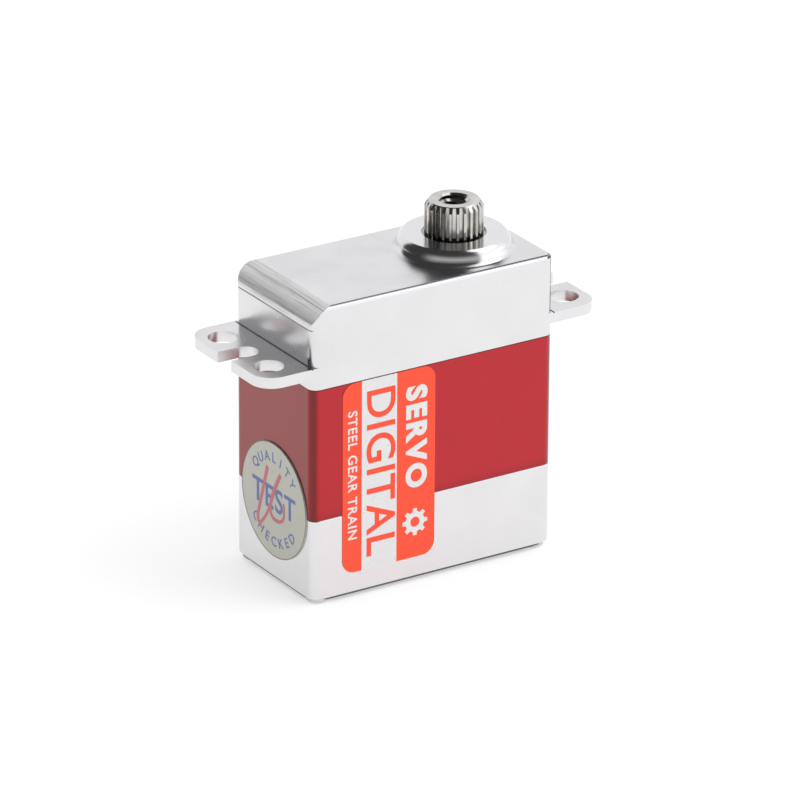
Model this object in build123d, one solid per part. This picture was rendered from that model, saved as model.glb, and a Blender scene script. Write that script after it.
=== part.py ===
from build123d import *
import os
from math import acos, cos, pi, radians, sin, tan

# Mini hobby servo. Row frame: X along the case (output end is +X), Y across it (the
# labelled long side is -Y), Z up. The origin is under the middle of the case, at the
# level of the screw heads that the servo stands on. All sizes are in millimetres.

# Case
CASE_L = 28.7
CASE_W = 15.0
CORNER_R = 0.95
WALL = 1.2
BOTTOM_Z = 0.3                  # underside of the bottom case
LOWER_SPLIT_Z = 9.2             # bottom case meets middle case
UPPER_SPLIT_Z = 23.45           # middle case meets top case
TOP_Z = 32.2                    # flat top face
DECK_T = 2.5                    # plate that closes the middle case under the gears
CEILING_T = 1.2
EDGE_CHAMFER = 0.2              # round the underside
TOP_ROUND_R = 0.45              # round the long top edges
PARTING_CHAMFER = 0.05          # edge break where two case parts meet
LEDGE_X = (-4.0, 6.0)           # ledges that the circuit board rests on
LEDGE_W = 1.2
LEDGE_REACH = 0.7

# Rounded top edge at the motor end: three milled facets, foot to crown
NOSE_R = 2.62
NOSE_TILT = radians(5.5)        # how far the nose starts off the wall and off the top face
NOSE_SPLITS = (0.0, 0.17, 0.7, 1.0)
NOSE_FLATNESS = 0.3
TOOL_LINE_R = 0.06              # fine groove that the cutter left at a facet's edge
EAR_LINE_R = 0.09               # groove between an ear and the wall

# Mounting ears, the same at both ends
EAR_TIP_X = 20.05
EAR_TOP_Z = 25.9
EAR_T = 1.15
EAR_CORNER_R = 2.3
EAR_HOLE_X = 17.55
EAR_HOLE_Y = 4.4
EAR_HOLE_R = 1.575
EAR_SLOT_R = 1.3

# Long corner screws, driven from below
SCREW_X = 12.9
SCREW_Y = 6.05
SCREW_R = 0.8
SCREW_TOP_Z = 27.4
SCREW_HEAD_R = 1.25
SCREW_HEAD_T = 0.65
SCREW_HEAD_CHAMFER = 0.15
SCREW_CLEAR = 0.08
SCREW_SEAT_CLEAR = 0.15
SCREW_SEAT_REACH = 3.0          # from the screw's axis out past the walls
SCREW_TIP_GAP = 0.4
SCREW_BITE = 0.01               # play of a screw in the thread it turns into
COLUMN_R = 1.75
SOCKET_R = 0.45                 # hex socket in the head, centre to corner
SOCKET_DEPTH = 0.4

# Gear train: motor, idler pin and output stand in line along X
OUTPUT_X = 7.05
IDLER_X = 0.0
MOTOR_X = -6.65
PRESSURE_ANGLE = 25.0
BACKLASH = 0.03                 # each tooth is this much thinner at the pitch circle
ADDENDUM = 0.85                 # in modules
DEDENDUM = 1.15
MODULE_1 = 0.2                  # motor pinion to first gear
MODULE_2 = 0.25                 # first gear to second gear, second gear to third gear
MODULE_4 = 0.35                 # third gear to output gear
MOTOR_TEETH = 10
FIRST_TEETH = 56
PINION_TEETH = 12
WHEEL_TEETH = 44
LAST_PINION_TEETH = 10
OUTPUT_TEETH = 30
PIN_R = 0.5
PIN_FIT = 0.03                  # radial running clearance
PIN_SEAT_BELOW = 1.8            # how deep the idler pin stands in the deck
PIN_SEAT_ABOVE = 0.7            # and in the top case

# Round holes that lighten a wheel: middle radius and hole radius
LIGHTENING_HOLES = 6
FIRST_WHEEL_HOLES = (3.4, 1.0)
SECOND_WHEEL_HOLES = (3.4, 0.95)
THIRD_WHEEL_HOLES = (3.6, 0.8)

# Levels of the train, bottom and top of each toothed band
MOTOR_PINION_Z = (23.65, 25.15)
FIRST_WHEEL_Z = (23.75, 25.05)
FIRST_PINION_Z = (25.05, 26.95)
SECOND_WHEEL_Z = (25.35, 26.6)
SECOND_PINION_Z = (26.6, 28.5)
THIRD_WHEEL_Z = (27.25, 28.35)
THIRD_PINION_Z = (28.35, 30.4)
OUTPUT_GEAR_Z = (28.85, 30.35)

# Output boss, bearings and shaft
BOSS_H = 1.5
BOSS_FLAT_R = 5.32
BOSS_R = 5.85                   # where the bulging side meets the flared foot
BOSS_WAIST_H = 0.62             # height of that circle over the top face
BOSS_FOOT_R = 6.25
BOSS_BULGE = 0.086              # how far the side stands out from a straight cone
BOSS_FLARE = 0.07               # how far the foot is hollowed
BOSS_MOUTH_R = 3.33
SPLINE_TEETH = 25
SPLINE_R = 3.0
SPLINE_ROOT_R = 2.62
SPLINE_PRESSURE_ANGLE = 15.0
SPLINE_FOOT_GAP = 0.1           # above the upper bearing
SPLINE_TOP_Z = 37.25
SPLINE_CHAMFER_H = 0.6
SPLINE_CHAMFER_R = 0.45
SHAFT_SCREW_R = 1.5             # M3 hole, at the thread's nominal radius
SHAFT_SCREW_DEPTH = 6.5
SHAFT_SCREW_CHAMFER = 0.18
SHAFT_SEAT_R = 2.0              # pressed into the output gear
SHAFT_SHOULDER_R = 3.45         # under the upper bearing's inner ring
UPPER_BEARING = dict(bore_r=3.0, outer_r=5.0, ball_r=0.5, balls=13, z=(30.6, 33.1))
LOWER_BEARING = dict(bore_r=0.75, outer_r=2.0, ball_r=0.3, balls=8, z=(21.45, 23.45))
BALL_PLAY = 0.02
RING_REACH = 0.6                # from the pitch circle to either ring, in ball radii
CAGE_HALF_WALL = 0.3            # in ball radii
CAGE_HALF_HEIGHT = 1.5          # in ball radii
CAGE_POCKET = 1.1               # in ball radii
OUTPUT_PIN_R = 0.75
OUTPUT_PIN_FOOT_Z = 16.5
OUTPUT_PIN_END_GAP = 0.05       # below the top of the output gear
BEARING_LEDGE_W = 0.6           # holds the lower bearing's outer ring

# Motor
CAN_R = 6.0
CAN_WALL = 0.6
CAN_CLOSED_T = 1.2              # solid end of the can, under the deck
CAN_Z = (8.95, 20.95)
PILOT_R = 2.0
PILOT_H = 1.4
PILOT_FIT = 0.03
MOTOR_SHAFT_R = 0.5
BUSH_R = 1.2
REAR_BUSH_L = 0.8
MOTOR_SHAFT_PROUD = 0.1         # past the end cap and the pinion
MAGNET_R = (3.6, 0.9)           # outer and inner
MAGNET_Z = (10.45, 19.75)
COIL_R = (4.9, 3.95)
COIL_Z = (9.9, 19.25)
HUB_Z = (9.3, 9.9)
COMMUTATOR_Z = (8.05, 9.3)
COMMUTATOR_BARS = 5
COMMUTATOR_SLOT_TOP_Z = 9.15
COMMUTATOR_SLOT = (0.9, 1.5)    # radial span of the slots between its bars
COMMUTATOR_SLOT_HALF_W = 0.06
MOTOR_SCREW_Y = 3.9
MOTOR_SCREW_R = 0.6
MOTOR_SCREW_HEAD_R = 1.15
MOTOR_SCREW_HEAD_T = 0.65
MOTOR_SCREW_TOP_Z = 23.4
MOTOR_SCREW_DEPTH = 1.0         # how far it goes into the can
MOTOR_SCREW_FIT = 0.02
MOTOR_SOCKET_R = 0.4
MOTOR_SOCKET_DEPTH = 0.35
END_CAP_Z = (6.95, 8.95)
END_CAP_FLOOR_T = 0.8
END_CAP_INNER_R = 5.0
TERMINAL_Y = (4.25, 4.45)
TERMINAL_HALF_W = 0.5
TERMINAL_RISE = 1.6
BRUSH_RISE = (1.15, 1.55)       # above the end cap's underside
BRUSH_Y = (1.26, 1.4)           # leaf beside the commutator
BRUSH_X = (-1.2, 2.1)           # leaf, from the motor axis
BRUSH_T = 0.1
BRUSH_FOOT_Y = (4.25, 4.4)

# Board and potentiometer
BOARD_Z = (5.2, 6.0)
POT_Z = (15.45, 20.95)
POT_R = 4.6
POT_WALL = 0.6
POT_BORE_R = 1.2
POT_TRACK_T = 0.4
POT_ROTOR_R = 3.4
POT_HUB_R = 1.6
POT_ROTOR_RISE = (0.75, 1.3, 2.3)   # hub, disc and top, above the floor of the body
WIPER_X = (-3.0, -1.8)
WIPER_HALF_W = 0.8
WIPER_RISE = (0.5, 1.1, 1.3)        # finger tips, plate and top
WIPER_FINGER_X = (-2.9, -2.1)
WIPER_FINGER_Y = (-0.6, 0.3)
WIPER_FINGER_W = 0.3
LEAD_Y = (-1.5, 0.0, 1.5)
LEAD_HALF = (0.15, 0.2)
LEAD_INSET = 1.0                # from the body's rim
PIN_THROUGH = 0.2               # leads and terminals pass this far through the board

BOARD_HALF = (12.9, 6.1)
BOARD_COLUMN_GAP = 0.35
CONTROLLER = dict(x=-1.5, y=0.0, size=(5.0, 5.0, 0.9))
TRANSISTOR = (2.4, 2.6, 0.8)
TRANSISTOR_X = (-9.6, -6.6)
TRANSISTOR_Y = (-2.2, 2.2)
CAPACITOR = (1.6, 3.0, 1.6)
CAPACITOR_X = 3.4
CAPACITOR_Y = (-3.6, 3.6)
OSCILLATOR = dict(x=3.6, y=0.0, size=(3.2, 2.4, 0.75))
RESISTOR = (0.6, 1.0, 0.4)
RESISTOR_X = (7.0, 8.4, 9.8)
RESISTOR_Y = (-3.0, 0.0, 3.0)

# Cable gland in the output end of the bottom case
GLAND_Y = 2.9
GLAND_Z = (6.6, 9.2)
GLAND_PROUD = 0.25
GLAND_SLOT_R = 0.75
GLAND_SLOT_W = 4.2
GLAND_GRIP = 0.3                # inside the wall
GLAND_FLANGE_T = 0.6
GLAND_FLANGE_PROUD = 0.6

# Stuck-on labels
LABEL_T = 0.08
LABEL_X = (-10.85, 0.1)
LABEL_Z = (2.7, 23.4)
LABEL_CORNER_R = 1.45
STICKER_Y = -0.25
STICKER_Z = 9.05
STICKER_R = 6.2
STICKER_T = 0.16

DECK_Z = UPPER_SPLIT_Z - DECK_T
CEILING_Z = TOP_Z - CEILING_T
BOSS_Z = TOP_Z + BOSS_H
INNER_X = CASE_L / 2 - WALL
INNER_Y = CASE_W / 2 - WALL
FLOOR_Z = BOTTOM_Z + WALL
GEAR_BAY_X = -9.2               # end wall of the gear bay, inside the solid nose
BASE = (Align.CENTER, Align.CENTER, Align.MIN)


def rod(x, y, r, z0, z1):
    return Pos(x, y, z0) * Cylinder(r, z1 - z0, align=BASE)


def tube(x, y, r_out, r_in, z0, z1):
    return rod(x, y, r_out, z0, z1) - rod(x, y, r_in, z0 - 1, z1 + 1)


def block(x, y, z):
    """Box between the pairs of limits x, y and z."""
    size = [hi - lo for lo, hi in (x, y, z)]
    return Pos(x[0], y[0], z[0]) * Box(*size, align=(Align.MIN,) * 3)


def corners(x, y):
    return [(sx * x, sy * y) for sx in (-1, 1) for sy in (-1, 1)]


def polar(r, angle):
    return (r * cos(angle), r * sin(angle))


def involute(angle):
    return tan(angle) - angle


def half_tooth(r, pitch_r, teeth, pressure, thinning):
    """Half the angle that a tooth takes up at radius r."""
    base_r = pitch_r * cos(pressure)
    here = acos(base_r / max(r, base_r))
    at_pitch = pi / (2 * teeth) - thinning / (2 * pitch_r)
    return at_pitch + involute(pressure) - involute(here)


def toothed_face(teeth, root_r, pitch_r, tip_r, pressure, thinning, turn):
    """Outline with a tooth centred on the angle turn; each flank is one arc."""
    mid_r = (root_r + tip_r) / 2
    root = half_tooth(root_r, pitch_r, teeth, pressure, thinning)
    mid = half_tooth(mid_r, pitch_r, teeth, pressure, thinning)
    tip = half_tooth(tip_r, pitch_r, teeth, pressure, thinning)
    step = 2 * pi / teeth
    edges = []
    for k in range(teeth):
        centre = turn + k * step
        rise = [polar(root_r, centre - root), polar(mid_r, centre - mid), polar(tip_r, centre - tip)]
        fall = [polar(tip_r, centre + tip), polar(mid_r, centre + mid), polar(root_r, centre + root)]
        next_rise = polar(root_r, centre + step - root)
        edges.append(ThreePointArc(*rise))
        edges.append(ThreePointArc(rise[2], polar(tip_r, centre), fall[0]))
        edges.append(ThreePointArc(*fall))
        edges.append(ThreePointArc(fall[2], polar(root_r, centre + step / 2), next_rise))
    return make_face(edges)


def gear(x, teeth, module, z, turn):
    """Spur gear on the axis at x, between the levels z."""
    pitch_r = module * teeth / 2
    root_r = pitch_r - DEDENDUM * module
    tip_r = pitch_r + ADDENDUM * module
    face = toothed_face(teeth, root_r, pitch_r, tip_r, radians(PRESSURE_ANGLE), BACKLASH, turn)
    return Pos(x, 0, z[0]) * extrude(face, z[1] - z[0])


def gap_at(angle, teeth):
    """Turn that puts a gap between teeth at the given angle."""
    return angle + pi / teeth


def top_edges(shape):
    return shape.faces().sort_by(Axis.Z)[-1].edges()


def rounded_block(z0, z1, low_chamfer):
    """Outside of a case part, with its lower edges broken."""
    shape = Pos(0, 0, z0) * extrude(RectangleRounded(CASE_L, CASE_W, CORNER_R), z1 - z0)
    return chamfer(shape.faces().sort_by(Axis.Z)[0].edges(), low_chamfer)


def bay(x0, z0, z1):
    """Hollow of a case part, leaving the screw columns in its corners."""
    hollow = block((x0, INNER_X), (-INNER_Y, INNER_Y), (z0, z1))
    return hollow - [rod(x, y, COLUMN_R, z0, z1) for x, y in corners(SCREW_X, SCREW_Y)]


def screw_holes(r, z0, z1):
    return [rod(x, y, r, z0, z1) for x, y in corners(SCREW_X, SCREW_Y)]


def nose_point(share):
    """Point on the round nose in X and Z; share runs from 0 at the foot to 1 at the crown."""
    reach = NOSE_R * cos(NOSE_TILT)
    x, z = polar(NOSE_R, pi - NOSE_TILT - share * (pi / 2 - 2 * NOSE_TILT))
    return (x + reach - CASE_L / 2, z + TOP_Z - reach)


def nose_edges():
    """Facets of the nose, each an arc a little flatter than the round that they share."""
    edges = []
    for low, high in zip(NOSE_SPLITS, NOSE_SPLITS[1:]):
        start, crest, end = [nose_point(share) for share in (low, (low + high) / 2, high)]
        chord = [(a + b) / 2 for a, b in zip(start, end)]
        middle = tuple(c + NOSE_FLATNESS * (m - c) for c, m in zip(crest, chord))
        edges.append(ThreePointArc(start, middle, end))
    return edges


def top_block():
    """Outer shape of the top case with its round nose."""
    x0, x1 = -CASE_L / 2, CASE_L / 2
    foot, crown = nose_point(0), nose_point(1)
    edges = nose_edges() + [
        Line(crown, (x1, TOP_Z)),
        Line((x1, TOP_Z), (x1, UPPER_SPLIT_Z)),
        Line((x1, UPPER_SPLIT_Z), (x0, UPPER_SPLIT_Z)),
        Line((x0, UPPER_SPLIT_Z), foot),
    ]
    side = Plane.XZ * make_face(edges)
    outside = rounded_block(UPPER_SPLIT_Z, TOP_Z, PARTING_CHAMFER)
    outside = fillet(top_edges(outside), TOP_ROUND_R)
    return outside & extrude(side, CASE_W, both=True)


def groove(x, z, r):
    """Fine round groove across the case."""
    return Pos(x, 0, z) * Rot(90, 0, 0) * Cylinder(r, 2 * CASE_W)


def ears():
    """One plate through the case; its middle is lost in the case walls."""
    plate = RectangleRounded(2 * EAR_TIP_X, CASE_W, EAR_CORNER_R)
    for x, y in corners(EAR_HOLE_X, EAR_HOLE_Y):
        plate -= Pos(x, y) * Circle(EAR_HOLE_R)
    for side in (-1, 1):
        plate -= Pos(side * EAR_HOLE_X, 0) * Circle(EAR_SLOT_R)
        mouth = EAR_TIP_X - EAR_HOLE_X
        plate -= Pos(side * (EAR_HOLE_X + mouth / 2), 0) * Rectangle(mouth, 2 * EAR_SLOT_R)
    return Pos(0, 0, EAR_TOP_Z - EAR_T) * extrude(plate, EAR_T)


def bowed(low, high, rise):
    """Arc from low to high in X and Z that stands out by rise at its middle."""
    run_x, run_z = high[0] - low[0], high[1] - low[1]
    length = (run_x**2 + run_z**2) ** 0.5
    middle_x = (low[0] + high[0]) / 2 + rise * run_z / length
    middle_z = (low[1] + high[1]) / 2 - rise * run_x / length
    return ThreePointArc(low, (middle_x, middle_z), high)


def boss():
    """Round collar on the top face, with a flared foot and a side that bulges and leans in."""
    foot = (BOSS_FOOT_R, TOP_Z)
    waist = (BOSS_R, TOP_Z + BOSS_WAIST_H)
    rim = (BOSS_FLAT_R, BOSS_Z)
    edges = [
        Line((0, CEILING_Z), (BOSS_FOOT_R, CEILING_Z)),
        Line((BOSS_FOOT_R, CEILING_Z), foot),
        bowed(foot, waist, -BOSS_FLARE),
        bowed(waist, rim, BOSS_BULGE),
        Line(rim, (0, BOSS_Z)),
        Line((0, BOSS_Z), (0, CEILING_Z)),
    ]
    return Pos(OUTPUT_X, 0, 0) * revolve(Plane.XZ * make_face(edges), Axis.Z)


def make_top_case():
    case = top_block() + ears() + boss()
    case -= bay(GEAR_BAY_X, UPPER_SPLIT_Z, CEILING_Z)
    case -= rod(OUTPUT_X, 0, UPPER_BEARING["outer_r"], CEILING_Z - 1, UPPER_BEARING["z"][1])
    case -= rod(OUTPUT_X, 0, BOSS_MOUTH_R, CEILING_Z, BOSS_Z + 1)
    case -= rod(IDLER_X, 0, PIN_R, CEILING_Z - 1, CEILING_Z + PIN_SEAT_ABOVE)
    case -= screw_holes(SCREW_R + SCREW_BITE, UPPER_SPLIT_Z - 1, SCREW_TOP_Z + SCREW_TIP_GAP)
    for share in (NOSE_SPLITS[0], NOSE_SPLITS[2]):
        case -= groove(*nose_point(share), TOOL_LINE_R)
    for side in (-1, 1):
        case -= groove(side * CASE_L / 2, EAR_TOP_Z, EAR_LINE_R)
    return case


def make_middle_case():
    case = rounded_block(LOWER_SPLIT_Z, UPPER_SPLIT_Z, PARTING_CHAMFER)
    case -= bay(-INNER_X, LOWER_SPLIT_Z, DECK_Z)
    case -= screw_holes(SCREW_R + SCREW_CLEAR, LOWER_SPLIT_Z - 1, UPPER_SPLIT_Z + 1)
    case -= rod(MOTOR_X, 0, PILOT_R + PILOT_FIT, DECK_Z - 1, UPPER_SPLIT_Z + 1)
    bearing_r = LOWER_BEARING["outer_r"]
    case -= rod(OUTPUT_X, 0, bearing_r, LOWER_BEARING["z"][0], UPPER_SPLIT_Z + 1)
    case -= rod(OUTPUT_X, 0, bearing_r - BEARING_LEDGE_W, DECK_Z - 1, UPPER_SPLIT_Z)
    case -= rod(IDLER_X, 0, PIN_R, UPPER_SPLIT_Z - PIN_SEAT_BELOW, UPPER_SPLIT_Z + 1)
    seat_r = MOTOR_SCREW_HEAD_R + MOTOR_SCREW_FIT
    for side in (-1, 1):
        case -= motor_screw(side, MOTOR_SCREW_FIT)
        case -= rod(MOTOR_X, side * MOTOR_SCREW_Y, seat_r, MOTOR_SCREW_TOP_Z, TOP_Z)
    return case


def screw_seat(x, y):
    """Corner notch, open to both outer walls, that holds a screw head."""
    far_x = x + (SCREW_SEAT_REACH if x > 0 else -SCREW_SEAT_REACH)
    far_y = y + (SCREW_SEAT_REACH if y > 0 else -SCREW_SEAT_REACH)
    notch = block(sorted((x, far_x)), sorted((y, far_y)), (BOTTOM_Z - 1, SCREW_HEAD_T))
    return notch + rod(x, y, SCREW_HEAD_R + SCREW_SEAT_CLEAR, BOTTOM_Z - 1, SCREW_HEAD_T)


def make_bottom_case():
    case = rounded_block(BOTTOM_Z, LOWER_SPLIT_Z, EDGE_CHAMFER)
    case = chamfer(top_edges(case), PARTING_CHAMFER)
    case -= bay(-INNER_X, FLOOR_Z, LOWER_SPLIT_Z)
    for x in LEDGE_X:
        for side in (-1, 1):
            wall = sorted((side * INNER_Y, side * (INNER_Y - LEDGE_REACH)))
            case += block((x, x + LEDGE_W), wall, (FLOOR_Z, BOARD_Z[0]))
    case -= screw_holes(SCREW_R + SCREW_CLEAR, BOTTOM_Z - 1, LOWER_SPLIT_Z + 1)
    case -= [screw_seat(x, y) for x, y in corners(SCREW_X, SCREW_Y)]
    case -= block((INNER_X - 1, CASE_L), (-GLAND_Y, GLAND_Y), GLAND_Z)
    return case


def hex_socket(x, y, r, z0, z1):
    return Pos(x, y, z0) * extrude(RegularPolygon(r, 6), z1 - z0)


def make_case_screws():
    screws = []
    for x, y in corners(SCREW_X, SCREW_Y):
        head = rod(x, y, SCREW_HEAD_R, 0, SCREW_HEAD_T)
        head = chamfer(head.edges().sort_by(Axis.Z)[0], SCREW_HEAD_CHAMFER)
        screw = head + rod(x, y, SCREW_R, SCREW_HEAD_T, SCREW_TOP_Z)
        screws.append(screw - hex_socket(x, y, SOCKET_R, 0, SOCKET_DEPTH))
    return screws


def make_cable_grommet():
    outside_x = CASE_L / 2 + GLAND_PROUD
    plug = block((INNER_X - GLAND_GRIP, outside_x), (-GLAND_Y, GLAND_Y), GLAND_Z)
    flange_x = (INNER_X - GLAND_GRIP - GLAND_FLANGE_T, INNER_X)
    flange_y = GLAND_Y + GLAND_FLANGE_PROUD
    flange = block(flange_x, (-flange_y, flange_y), (GLAND_Z[0] - GLAND_GRIP, GLAND_Z[1]))
    slot = SlotOverall(GLAND_SLOT_W, 2 * GLAND_SLOT_R)
    mid_z = sum(GLAND_Z) / 2
    return plug + flange - Pos(INNER_X - 2, 0, mid_z) * extrude(Plane.YZ * slot, 5)


def make_side_label():
    length, height = LABEL_X[1] - LABEL_X[0], LABEL_Z[1] - LABEL_Z[0]
    middle = Pos(sum(LABEL_X) / 2, -CASE_W / 2, sum(LABEL_Z) / 2)
    return middle * extrude(Plane.XZ * RectangleRounded(length, height, LABEL_CORNER_R), LABEL_T)


def make_inspection_sticker():
    return Pos(-CASE_L / 2, STICKER_Y, STICKER_Z) * extrude(Plane.YZ * Circle(STICKER_R), -STICKER_T)


def make_bearing(bore_r, outer_r, ball_r, balls, z):
    """Inner ring, outer ring, balls and cage of a bearing on the output axis."""
    pitch_r = (bore_r + outer_r) / 2
    mid_z = sum(z) / 2
    groove = Pos(OUTPUT_X, 0, mid_z) * Torus(pitch_r, ball_r + BALL_PLAY)
    inner = tube(OUTPUT_X, 0, pitch_r - RING_REACH * ball_r, bore_r, *z) - groove
    outer = tube(OUTPUT_X, 0, outer_r, pitch_r + RING_REACH * ball_r, *z) - groove
    places = [polar(pitch_r, 2 * pi * k / balls) for k in range(balls)]
    spheres = [Pos(OUTPUT_X + x, y, mid_z) * Sphere(ball_r) for x, y in places]
    half_wall, half_height = CAGE_HALF_WALL * ball_r, CAGE_HALF_HEIGHT * ball_r
    cage_z = (mid_z - half_height, mid_z + half_height)
    cage = tube(OUTPUT_X, 0, pitch_r + half_wall, pitch_r - half_wall, *cage_z)
    pocket = Pos(pitch_r, 0, 0) * Rot(0, 90, 0) * Cylinder(CAGE_POCKET * ball_r, 2 * ball_r)
    cage -= [Pos(OUTPUT_X, 0, mid_z) * Rot(0, 0, 360 * k / balls) * pocket for k in range(balls)]
    return inner, outer, spheres, cage


def make_idler_pin():
    return rod(IDLER_X, 0, PIN_R, UPPER_SPLIT_Z - PIN_SEAT_BELOW, CEILING_Z + PIN_SEAT_ABOVE)


def make_motor_pinion():
    pinion = gear(MOTOR_X, MOTOR_TEETH, MODULE_1, MOTOR_PINION_Z, 0)
    return pinion - rod(MOTOR_X, 0, MOTOR_SHAFT_R, 0, TOP_Z)


def lightening_holes(x, radii, z):
    middle_r, hole_r = radii
    places = [polar(middle_r, 2 * pi * (k + 0.5) / LIGHTENING_HOLES) for k in range(LIGHTENING_HOLES)]
    return [rod(x + hx, hy, hole_r, z[0] - 1, z[1] + 1) for hx, hy in places]


def make_first_gear():
    wheel = gear(IDLER_X, FIRST_TEETH, MODULE_1, FIRST_WHEEL_Z, gap_at(pi, FIRST_TEETH))
    wheel -= lightening_holes(IDLER_X, FIRST_WHEEL_HOLES, FIRST_WHEEL_Z)
    pinion = gear(IDLER_X, PINION_TEETH, MODULE_2, FIRST_PINION_Z, 0)
    return wheel + pinion - rod(IDLER_X, 0, PIN_R + PIN_FIT, 0, TOP_Z)


def make_second_gear():
    wheel = gear(OUTPUT_X, WHEEL_TEETH, MODULE_2, SECOND_WHEEL_Z, gap_at(pi, WHEEL_TEETH))
    wheel -= lightening_holes(OUTPUT_X, SECOND_WHEEL_HOLES, SECOND_WHEEL_Z)
    pinion = gear(OUTPUT_X, PINION_TEETH, MODULE_2, SECOND_PINION_Z, pi)
    return wheel + pinion - rod(OUTPUT_X, 0, OUTPUT_PIN_R + PIN_FIT, 0, TOP_Z)


def make_third_gear():
    wheel = gear(IDLER_X, WHEEL_TEETH, MODULE_2, THIRD_WHEEL_Z, gap_at(0, WHEEL_TEETH))
    wheel -= lightening_holes(IDLER_X, THIRD_WHEEL_HOLES, THIRD_WHEEL_Z)
    pinion = gear(IDLER_X, LAST_PINION_TEETH, MODULE_4, THIRD_PINION_Z, 0)
    return wheel + pinion - rod(IDLER_X, 0, PIN_R + PIN_FIT, 0, TOP_Z)


def make_output_gear():
    wheel = gear(OUTPUT_X, OUTPUT_TEETH, MODULE_4, OUTPUT_GEAR_Z, gap_at(pi, OUTPUT_TEETH))
    return wheel - rod(OUTPUT_X, 0, SHAFT_SEAT_R, 0, TOP_Z)


def spline(height):
    """Toothed end of the output shaft; its upper edge is chamfered down to the tooth roots."""
    pitch_r = (SPLINE_R + SPLINE_ROOT_R) / 2
    pressure = radians(SPLINE_PRESSURE_ANGLE)
    teeth = toothed_face(SPLINE_TEETH, SPLINE_ROOT_R, pitch_r, SPLINE_R, pressure, 0, 0)
    envelope = Cylinder(SPLINE_R + 0.01, height, align=BASE)
    top_edge = envelope.edges().sort_by(Axis.Z)[-1]
    return extrude(teeth, height) & chamfer(top_edge, SPLINE_CHAMFER_H, SPLINE_CHAMFER_R)


def make_output_shaft():
    """Gear seat, shoulder, bearing journal and toothed spline, tapped from the top."""
    journal_top = UPPER_BEARING["z"][1] + SPLINE_FOOT_GAP
    gear_top = OUTPUT_GEAR_Z[1]
    shaft = rod(OUTPUT_X, 0, SHAFT_SEAT_R, *OUTPUT_GEAR_Z)
    shaft += rod(OUTPUT_X, 0, SHAFT_SHOULDER_R, gear_top, UPPER_BEARING["z"][0])
    shaft += rod(OUTPUT_X, 0, UPPER_BEARING["bore_r"], UPPER_BEARING["z"][0], journal_top)
    shaft += Pos(OUTPUT_X, 0, journal_top) * spline(SPLINE_TOP_Z - journal_top)
    shaft -= rod(OUTPUT_X, 0, SHAFT_SCREW_R, SPLINE_TOP_Z - SHAFT_SCREW_DEPTH, SPLINE_TOP_Z + 1)
    mouth_r = SHAFT_SCREW_R + SHAFT_SCREW_CHAMFER
    mouth = Cone(SHAFT_SCREW_R, mouth_r, SHAFT_SCREW_CHAMFER, align=BASE)
    shaft -= Pos(OUTPUT_X, 0, SPLINE_TOP_Z - SHAFT_SCREW_CHAMFER) * mouth
    shaft -= rod(OUTPUT_X, 0, OUTPUT_PIN_R, 0, gear_top - OUTPUT_PIN_END_GAP)
    return shaft


def make_output_pin():
    """Thin shaft under the output gear, down to the potentiometer."""
    return rod(OUTPUT_X, 0, OUTPUT_PIN_R, OUTPUT_PIN_FOOT_Z, OUTPUT_GEAR_Z[1] - OUTPUT_PIN_END_GAP)


def motor_screw(side, gap):
    """Countersunk screw from the deck into the motor; gap widens it to make its hole."""
    y = side * MOTOR_SCREW_Y
    shank = rod(MOTOR_X, y, MOTOR_SCREW_R + gap, CAN_Z[1] - MOTOR_SCREW_DEPTH, MOTOR_SCREW_TOP_Z)
    head_r = MOTOR_SCREW_HEAD_R + gap
    head_z = MOTOR_SCREW_TOP_Z - MOTOR_SCREW_HEAD_T
    head = Cone(MOTOR_SCREW_R + gap, head_r, MOTOR_SCREW_HEAD_T, align=BASE)
    return shank + Pos(MOTOR_X, y, head_z) * head


def make_motor_screws():
    screws = []
    floor_z = MOTOR_SCREW_TOP_Z - MOTOR_SOCKET_DEPTH
    for side in (-1, 1):
        socket = hex_socket(MOTOR_X, side * MOTOR_SCREW_Y, MOTOR_SOCKET_R, floor_z, UPPER_SPLIT_Z)
        screws.append(motor_screw(side, 0) - socket)
    return screws


def make_motor_can():
    can = tube(MOTOR_X, 0, CAN_R, CAN_R - CAN_WALL, *CAN_Z)
    can += rod(MOTOR_X, 0, CAN_R, CAN_Z[1] - CAN_CLOSED_T, CAN_Z[1])
    can += rod(MOTOR_X, 0, PILOT_R, CAN_Z[1], CAN_Z[1] + PILOT_H)
    can -= rod(MOTOR_X, 0, BUSH_R, CAN_Z[1] - 2, TOP_Z)
    screw_r = MOTOR_SCREW_R + SCREW_BITE
    for side in (-1, 1):
        can -= rod(MOTOR_X, side * MOTOR_SCREW_Y, screw_r, CAN_Z[1] - MOTOR_SCREW_DEPTH, CAN_Z[1] + 1)
    return can


def make_motor_bushes():
    bore_r = MOTOR_SHAFT_R + PIN_FIT
    front = tube(MOTOR_X, 0, BUSH_R, bore_r, CAN_Z[1] - CAN_CLOSED_T, CAN_Z[1] + PILOT_H)
    rear = tube(MOTOR_X, 0, BUSH_R, bore_r, END_CAP_Z[0], END_CAP_Z[0] + REAR_BUSH_L)
    return front, rear


def make_motor_magnet():
    return tube(MOTOR_X, 0, *MAGNET_R, *MAGNET_Z)


def make_motor_coil():
    return tube(MOTOR_X, 0, *COIL_R, *COIL_Z)


def make_coil_hub():
    return tube(MOTOR_X, 0, COIL_R[0], MOTOR_SHAFT_R, *HUB_Z)


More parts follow.
